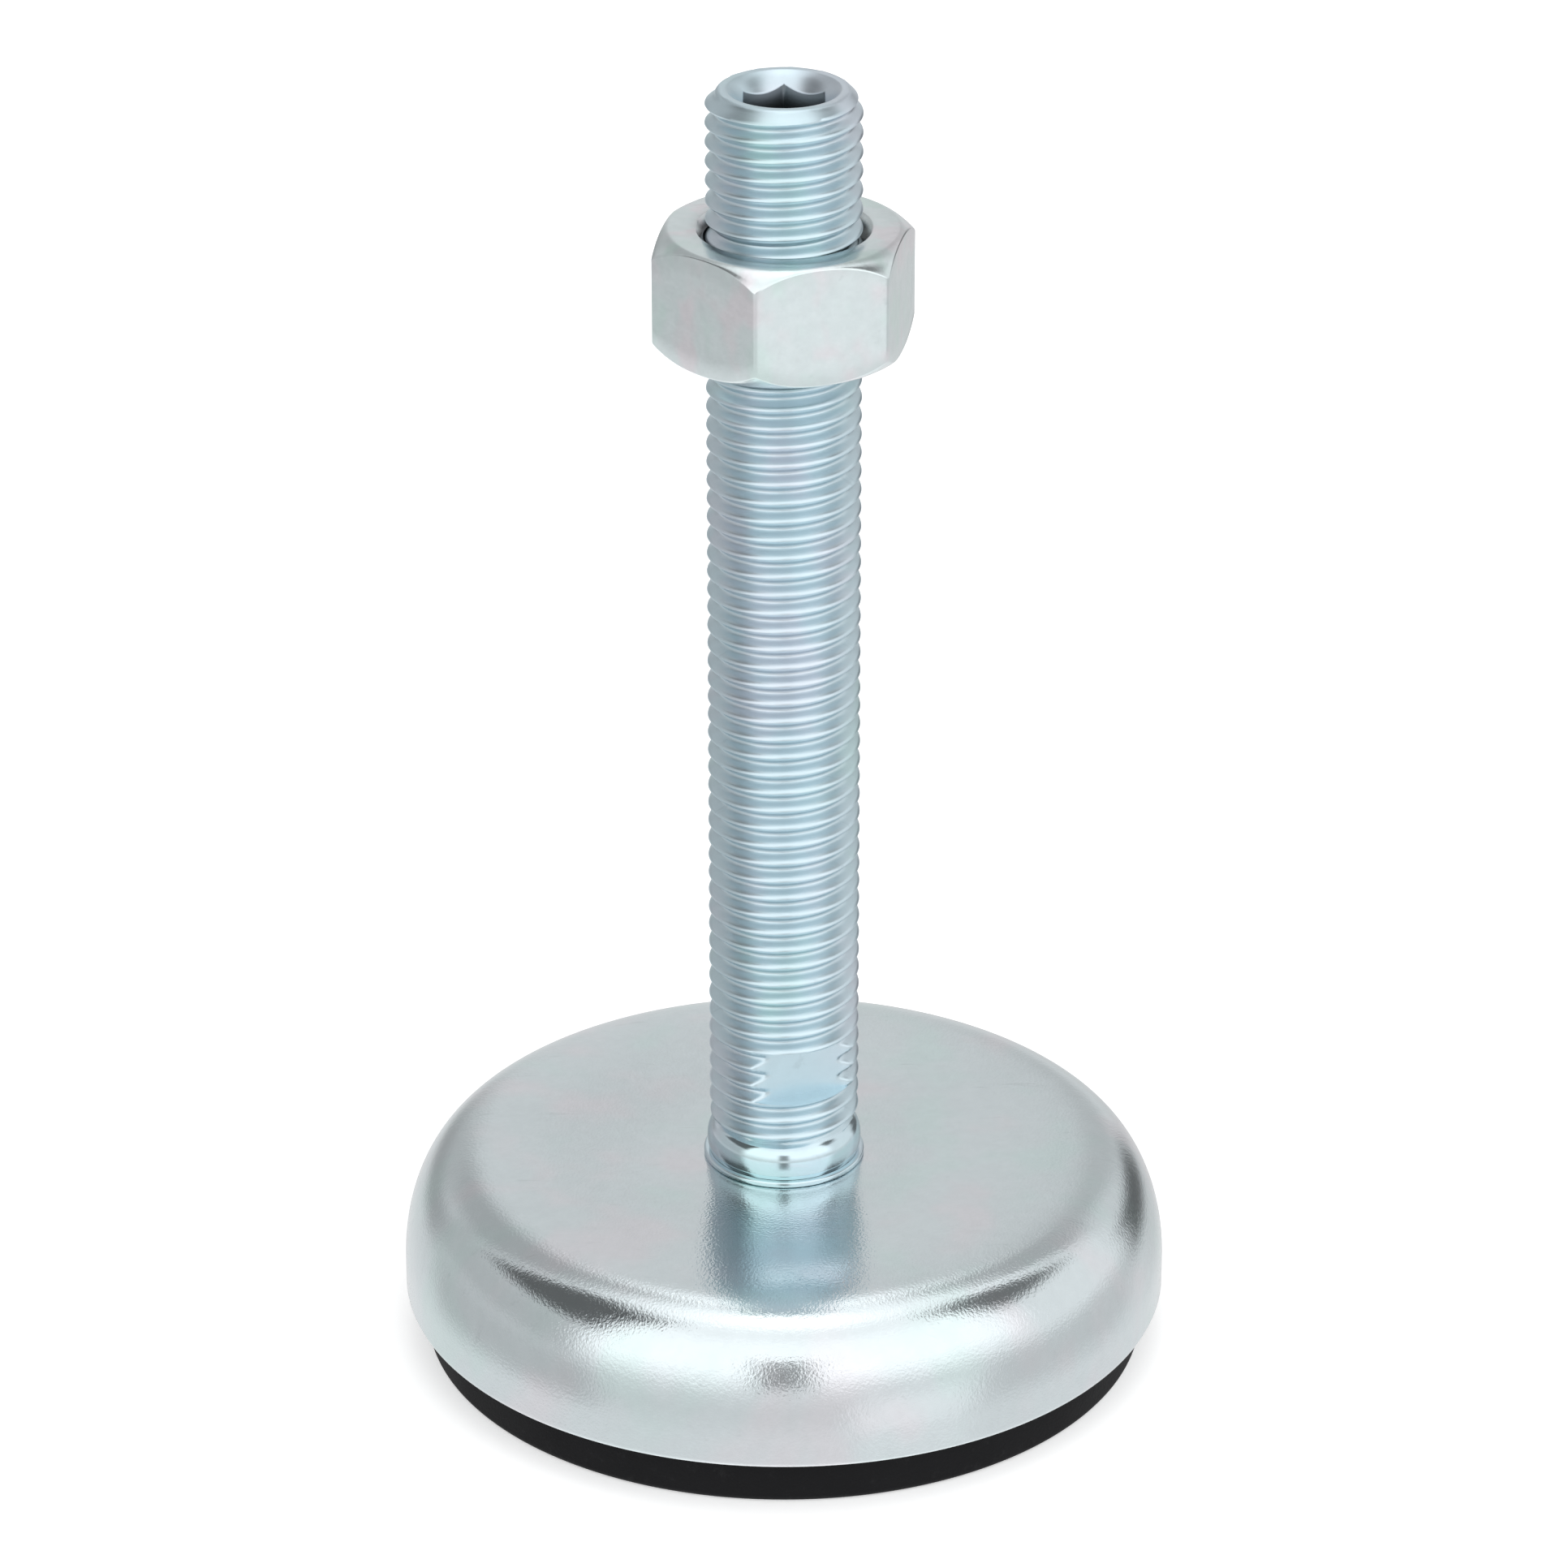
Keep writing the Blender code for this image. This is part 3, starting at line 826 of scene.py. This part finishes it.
    def pivot(self, surface: Surface) -> None:
        """Add the pivot under the collar, with the groove for the retaining ring."""
        angles = full_circle(self.thread.columns, math.pi / 2)
        groove_top = self.ring_bottom + self.ring_thickness + self.play
        groove_bottom = self.ring_bottom - self.play
        end = groove_bottom - self.end_length
        profile = np.array([
            (0.0, end),
            (self.shank_radius * 0.5, end),
            (self.shank_radius - 3 * self.play, end),
            (self.shank_radius, end + 3 * self.play),
            (self.shank_radius, groove_bottom),
            (self.groove_radius, groove_bottom),
            (self.groove_radius, groove_top),
            (self.shank_radius, groove_top),
            (self.shank_radius, self.collar_bottom),
            (self.collar_radius - self.collar_tuck, self.collar_bottom),
        ])
        surface.add_rings(profile, angles)

    def build(self) -> None:
        """Make the stud and its retaining ring."""
        surface = Surface("stud_with_socket")
        self.pivot(surface)
        self.side(surface)
        self.end(surface)
        finished(surface, STUD_ZINC, "stud", "leveling_stud", 40)
        finished(self.retaining_ring(), RING_STEEL, "stud", "retaining_ring", 40)

    def retaining_ring(self) -> Surface:
        """The C-shaped ring: a rounded section carried round the arc and shrunk to a point at both ends."""
        low, high = self.ring_bottom, self.ring_bottom + self.ring_thickness
        inner, outer, soft = self.groove_radius + self.play, self.ring_radius, 0.12 * MM
        outline = ring_outline(inner, outer, low, high, soft)
        center = np.array([(inner + outer) / 2, (low + high) / 2])
        angles = np.linspace(self.ring_gap / 2, FULL_TURN - self.ring_gap / 2, 97)
        sizes = np.concatenate([[0.0, 0.9, 1.0], np.ones(len(angles) - 2), [1.0, 0.9, 0.0]])
        first, last, near = angles[0], angles[-1], 0.01
        stations = np.concatenate([[first] * 2, [first + near], angles[1:-1], [last - near], [last] * 2])
        section = center + (outline - center)[:, None] * sizes[:, None]
        surface = Surface("snap_ring")
        surface.add(turned_points(section[..., 0], stations[None], section[..., 1]))
        return surface


@dataclass
class JamNut:
    """The hexagonal nut: flats, rounded chamfers, countersunk mouths and the inner thread."""

    bottom: float = 111.5 * MM
    height: float = 12.6 * MM
    across_flats: float = 24.0 * MM
    face_radius: float = 11.4 * MM
    corner_angle: float = math.radians(18)
    corner_rounding: float = 0.25 * MM
    mouth_radius: float = 8.8 * MM
    mouth_depth: float = 0.04 * MM
    chamfer_reach: float = 1.0 * MM
    chamfer_drop: float = 0.5 * MM
    chamfer_power: float = 1.55
    edge: float = 0.10 * MM
    thread: Thread = field(default_factory=lambda: Thread(
        root=7.00 * MM, crest=8.12 * MM, root_flat=0.55 * MM, crest_flat=0.35 * MM,
    ))

    def angles(self) -> Array:
        """Angles over a full turn, closer together near the six corners.

        Over each sixth of a turn the even spacing is pulled to its ends by a sine.
        """
        even = np.arange(6 * 24 + 1) / 24
        pulled = even - 0.85 * np.sin(FULL_TURN * even) / FULL_TURN
        return self.corner_angle + pulled * math.pi / 3

    def hexagon(self, angles: Array) -> Array:
        """Radius of the flats with rounded corners: the smooth lower of the two nearest flats' radii."""
        from_flat = np.mod(angles - self.corner_angle, math.pi / 3) - math.pi / 6
        reach = self.across_flats / 2
        near = reach / np.cos(from_flat)
        beside = reach / np.maximum(np.cos(math.pi / 3 - np.abs(from_flat)), 0.2)
        return smooth_min(near, beside, self.corner_rounding)

    def drop(self, radius: Array) -> Array:
        """How far the rounded chamfer lies under the face: a power of the radius beyond the face's edge."""
        beyond = np.maximum(radius - self.face_radius, 0.0) / self.chamfer_reach
        return self.chamfer_drop * beyond**self.chamfer_power

    def shell(self, surface: Surface) -> None:
        """Add the two faces, the chamfers and the flats.

        The chamfer meets the flats where their radius is reached. The crease there is bridged by a ring
        that lies a little inside it.
        """
        angles = self.angles()
        hexagon = self.hexagon(angles)
        edge = self.edge
        crest = self.drop(hexagon)
        rings = [(hexagon, crest + 1.2 * edge), (hexagon - 0.25 * edge, crest + 0.3 * edge)]
        for share in (1.0, 0.8, 0.6, 0.4, 0.2, 0.0):
            radius = self.face_radius + (hexagon - 1.2 * edge - self.face_radius) * share
            rings.append((radius, self.drop(radius)))
        for radius in ((self.face_radius + self.mouth_radius) / 2, self.mouth_radius + edge):
            rings.append((np.full_like(angles, radius), np.zeros_like(angles)))
        rings.append((np.full_like(angles, self.mouth_radius), np.full_like(angles, self.mouth_depth)))
        radius = np.array([ring[0] for ring in rings])
        depth = np.array([ring[1] for ring in rings])
        levels = np.linspace(0.0, 1.0, 7)[1:-1, None]
        wall_depth = (self.height - depth[0]) * (1 - levels) + depth[0] * levels
        wall = np.broadcast_to(hexagon, wall_depth.shape)
        all_radius = np.concatenate([radius[::-1], wall, radius])
        all_height = np.concatenate([depth[::-1], self.height - wall_depth, self.height - depth])
        surface.add(turned_points(all_radius, angles[None], self.bottom + all_height))

    def bore(self, surface: Surface) -> None:
        """Add the threaded bore with its 45 degree countersunk mouths, on the shell's own angles."""
        low, high = self.bottom + self.mouth_depth, self.bottom + self.height - self.mouth_depth
        angle, height = self.thread.grid(low, high, self.angles())
        mouth = self.mouth_radius - np.minimum(height - low, high - height)
        radius = smooth_max(self.thread.radius_at(angle, height), mouth, 0.10 * MM)
        at_mouth = (height <= low + SAME_PLACE) | (height >= high - SAME_PLACE)
        radius = np.where(at_mouth, self.mouth_radius, radius)
        surface.add(turned_points(radius, angle, height)[:, ::-1])

    def build(self) -> None:
        """Make the nut."""
        surface = Surface("hexagon_nut")
        self.shell(surface)
        self.bore(surface)
        finished(surface, NUT_ZINC, "nut", "jam_nut", 38)


@dataclass
class Base:
    """The pressed cup, the rubber pad in it and the rings on the pivot."""

    radius: float = 40.3 * MM
    rim: float = 5.5 * MM
    plate: float = 20.0 * MM
    plate_edge: float = 20.8 * MM
    seat_radius: float = 13.0 * MM
    flat_radius: float = 29.5 * MM
    shoulder_start: float = 8.5 * MM
    wall: float = 2.0 * MM
    hole_radius: float = 5.4 * MM
    columns: int = 240
    pad_floor_radius: float = 38.1 * MM
    pad_gap: float = 0.2 * MM
    pad_pocket_radius: float = 9.2 * MM
    pad_pocket_floor: float = 12.0 * MM
    pad_grooves: tuple[float, ...] = (14.0 * MM, 22.0 * MM, 30.0 * MM)
    pad_groove_width: float = 2.0 * MM
    pad_groove_depth: float = 1.2 * MM
    disc_radius: float = 24.0 * MM
    disc_thickness: float = 2.0 * MM
    play: float = 0.1 * MM

    def plate_line(self, lift: float, start: float, steps: int = 26) -> Array:
        """Radius and height along the dished plate: level on the seat, then rising with a squared share."""
        radius = np.linspace(start, self.flat_radius, steps)
        share = np.clip((radius - self.seat_radius) / (self.flat_radius - self.seat_radius), 0.0, 1.0)
        ease = share**2 * (3 - 2 * share)
        return np.stack([radius, self.plate + (self.plate_edge - self.plate) * ease + lift], axis=1)

    def cup(self) -> Surface:
        """The cup as a turned shell, from the pivot hole over the shoulder to the rim and back inside."""
        inner_side = self.radius - self.wall
        outer = shoulder_line(self.flat_radius, self.radius, self.shoulder_start, self.plate_edge, 56)
        under_edge = self.plate_edge - self.wall
        inner = shoulder_line(self.flat_radius, inner_side, self.shoulder_start, under_edge, 28)
        soft = 0.25 * MM
        rim = np.array([
            (self.radius, self.rim + 2 * soft),
            (self.radius, self.rim + soft),
            (self.radius - 0.3 * soft, self.rim + 0.3 * soft),
            (self.radius - soft, self.rim),
            (inner_side + soft, self.rim),
            (inner_side, self.rim + soft),
        ])
        hole = np.array([
            (self.hole_radius, self.plate - self.wall),
            (self.hole_radius, self.plate - soft),
            (self.hole_radius + 0.3 * soft, self.plate - 0.3 * soft),
        ])
        top = self.plate_line(0.0, self.hole_radius + soft)
        under = self.plate_line(-self.wall, self.hole_radius)
        profile = np.concatenate([hole, top, outer[1:], rim, inner[::-1], under[-2::-1]])
        surface = Surface("pressed_base_cup")
        surface.add_rings(profile[::-1], full_circle(self.columns))
        return surface

    def pad(self) -> Surface:
        """The pad as a turned solid, with a rounded edge at the floor and three grooves."""
        side = self.radius - self.wall - self.pad_gap
        top = self.plate - self.wall - self.pad_gap
        edge_top = self.plate_edge - self.wall - self.pad_gap
        seat = top - self.disc_thickness - self.play
        disc = self.disc_radius + self.pad_gap
        shoulder = shoulder_line(self.flat_radius, side, self.shoulder_start, edge_top, 28)
        turn = np.linspace(0.0, math.pi / 2, 7)
        soft = 0.8 * MM
        floor_edge = np.stack([
            self.pad_floor_radius - soft + soft * np.cos(turn),
            soft - soft * np.sin(turn),
        ], axis=1)
        half, depth, lip = self.pad_groove_width / 2, self.pad_groove_depth, 0.25 * MM
        bank = ((half + lip, 0.0), (half, lip), (half - lip, depth - lip), (half - 2 * lip, depth))
        grooves = []
        for middle in reversed(self.pad_grooves):
            grooves += [(middle + off, height) for off, height in bank]
            grooves += [(middle - off, height) for off, height in reversed(bank)]
        pocket = [(0.0, self.pad_pocket_floor), (self.pad_pocket_radius, self.pad_pocket_floor)]
        pocket += [(self.pad_pocket_radius, seat), (disc, seat), (disc, top)]
        profile = np.concatenate([
            np.array(pocket), shoulder, [(side, self.rim + 1.0 * MM), (side, self.rim)],
            floor_edge, np.array(grooves), [(0.0, 0.0)],
        ])
        surface = Surface("moulded_rubber_pad")
        surface.add_rings(profile[::-1], full_circle(self.columns))
        return surface

    def flat_ring(self, name: str, outer: float, low: float, thickness: float, soft: float) -> Surface:
        """A washer with rounded edges."""
        inner, high = self.hole_radius, low + thickness
        surface = Surface(name)
        surface.add_rings(ring_outline(inner, outer, low, high, soft), full_circle(144))
        return surface

    def build(self) -> None:
        """Make the cup, the pad and the three rings."""
        finished(self.cup(), BASE_ZINC, "base", "base_cup", 50)
        finished(self.pad(), PAD_RUBBER, "base", "rubber_pad", 50)
        disc_low = self.plate - self.wall - self.play - self.disc_thickness
        washer = self.flat_ring("collar_washer", 8.45 * MM, self.plate + 0.02 * MM, 0.65 * MM, 0.25 * MM)
        disc = self.flat_ring("stiffening_disc", self.disc_radius, disc_low, self.disc_thickness, 0.3 * MM)
        lower_low = disc_low - self.play - 1.0 * MM
        lower = self.flat_ring("pivot_washer", 8.5 * MM, lower_low, 1.0 * MM, 0.2 * MM)
        finished(washer, STUD_ZINC, "base", "thrust_washer", 50)
        finished(disc, BASE_ZINC, "base", "backing_disc", 50)
        finished(lower, BASE_ZINC, "base", "lower_washer", 50)


# ------------------------------------------------------------------------------
# Studio
# ------------------------------------------------------------------------------


@dataclass(frozen=True)
class Panel:
    """A soft-edged light or dark panel of the studio, by where it stands round the foot.

    Azimuth 0 is the front (-Y) and positive to the right; angles are in degrees.
    """

    azimuth: float
    elevation: float
    half_width: float
    half_height: float
    soft: float
    brightness: float


@dataclass
class Studio:
    """The floor, the light tent round the foot and the camera.

    The ramp holds the tent's brightness by elevation in degrees, and the panels are laid over it in their
    order.
    """

    camera_distance: float = 593.09 * MM
    camera_height: float = 346.91 * MM
    camera_tilt: float = 25.582
    focal_length: float = 146.50
    floor_size: float = 6.0
    ramp: tuple[tuple[float, float], ...] = (
        (-90, 1.35), (-62, 1.10), (-40, 0.88), (-14, 0.76), (-2, 0.84), (8, 1.14), (18, 1.36), (34, 1.34),
        (50, 1.30), (62, 1.18), (70, 1.20), (80, 1.50), (90, 1.75),
    )
    panels: tuple[Panel, ...] = (
        Panel(180, 18, 66, 34, 10, 0.74),
        Panel(180, 62, 14, 12, 10, 1.50),
        Panel(0, 17, 7, 13, 4, 0.36),
        Panel(38, -18, 18, 12, 6, 1.00),
        Panel(-90, -13, 34, 11, 6, 0.58),
        Panel(92, -13, 30, 11, 6, 0.68),
        Panel(156, -14, 18, 11, 6, 0.68),
        Panel(-98, 14, 36, 16, 8, 0.55),
        Panel(-152, 22, 14, 16, 8, 0.54),
        Panel(162, 24, 12, 16, 8, 0.58),
        Panel(-143, 44, 22, 18, 9, 0.46),
        Panel(-146, 2, 18, 10, 7, 0.42),
        Panel(-88, 47, 27, 18, 5, 0.14),
        Panel(100, 22, 26, 22, 9, 0.92),
        Panel(148, 48, 18, 11, 7, 0.48),
        Panel(140, 1, 14, 11, 6, 0.16),
        Panel(96, 50, 19, 13, 5, 0.20),
    )

    def camera(self) -> None:
        """Place the camera in front of the foot, a little above it."""
        data = bpy.data.cameras.new("camera")
        data.lens = self.focal_length
        data.sensor_width = 36.0
        data.clip_start = 0.01
        data.clip_end = 100.0
        camera = bpy.data.objects.new("camera", data)
        camera.location = (0.0, -self.camera_distance, self.camera_height)
        camera.rotation_euler = (math.radians(90.0 - self.camera_tilt), 0.0, 0.0)
        bpy.context.scene.collection.objects.link(camera)
        bpy.context.scene.camera = camera

    def floor(self) -> None:
        """Lay the pale floor just under the pad."""
        half = self.floor_size / 2
        steps = np.linspace(-half, half, 9)
        across, along = np.meshgrid(steps, steps)
        grid = np.stack([across, along, np.full_like(across, -0.00005)], axis=-1)
        surface = Surface("studio_floor")
        surface.add(grid)
        mesh = surface.mesh()
        mesh.materials.append(self.floor_material())
        floor = bpy.data.objects.new("studio_floor", mesh)
        # The tent goes on below the horizon, so mirrored rays pass the floor and see its brightness there.
        floor.visible_glossy = False
        bpy.context.scene.collection.objects.link(floor)

    @staticmethod
    def floor_material() -> bpy.types.Material:
        """Matte white paper, a little lit from below as on a light table."""
        material, graph = new_material("white paper")
        fibre = graph.noise(900.0, 3.0, 0.6)
        color = graph.mix_color(fibre, (0.90, 0.90, 0.90), (0.93, 0.93, 0.93))
        graph.principled({
            "Base Color": color,
            "Roughness": 0.9,
            "Specular IOR Level": 0.0,
            "Emission Color": (1.0, 1.0, 1.0, 1.0),
            "Emission Strength": 0.45,
        })
        return material

    def light(self) -> None:
        """Paint the light tent on the world: each panel covers what is behind it, with soft edges."""
        world = bpy.data.worlds.new("light tent")
        bpy.context.scene.world = world
        world.use_nodes = True
        graph = ShaderGraph(world.node_tree)
        direction = graph.node("ShaderNodeTexCoord").outputs["Generated"]
        split = graph.node("ShaderNodeSeparateXYZ", None, {0: direction})
        side, back, up = (Value(graph, split.outputs[axis]) for axis in range(3))
        azimuth = side.math("ARCTAN2", back * -1.0) * (180.0 / math.pi)
        elevation = up.math("ARCSINE") * (180.0 / math.pi)
        stops = [((height + 90.0) / 180.0, (level / 2.0,) * 3) for height, level in self.ramp]
        ramp = graph.node("ShaderNodeValToRGB", {"stops": stops}, {0: (elevation + 90.0) / 180.0})
        light: Link = Value(graph, ramp.outputs[0]) * 2.0
        for panel in self.panels:
            turn = (azimuth - (panel.azimuth - 180.0)).math("FLOORED_MODULO", 360.0) - 180.0
            width, height, soft = panel.half_width, panel.half_height, panel.soft
            off = (elevation - panel.elevation).math("ABSOLUTE")
            covered = turn.math("ABSOLUTE").step(width + soft, width - soft)
            covered = covered * off.step(height + soft, height - soft)
            light = covered * panel.brightness + (1.0 - covered) * light
        camera_ray = graph.value("ShaderNodeLightPath", None, None, "Is Camera Ray")
        strength = camera_ray + (1.0 - camera_ray) * light
        tint = (0.985, 0.995, 1.0, 1.0)
        background = graph.node("ShaderNodeBackground", None, {"Color": tint, "Strength": strength})
        graph.node("ShaderNodeOutputWorld", None, {"Surface": background.outputs[0]})

    def build(self) -> None:
        """Set up the whole studio."""
        bpy.context.scene.view_settings.view_transform = "Standard"
        self.camera()
        self.floor()
        self.light()


def main() -> None:
    """Build the foot from the floor up, and the studio round it."""
    logging.basicConfig(level=logging.INFO, format="%(name)s: %(message)s")
    Studio().build()
    Base().build()
    Stud().build()
    JamNut().build()


def corners(bounds: Any) -> list[list[float]]:
    """The two corners of a box as plain lists of numbers."""
    return [[float(number) for number in corner] for corner in bounds]


if __name__ == "__main__":
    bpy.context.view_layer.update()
    main()
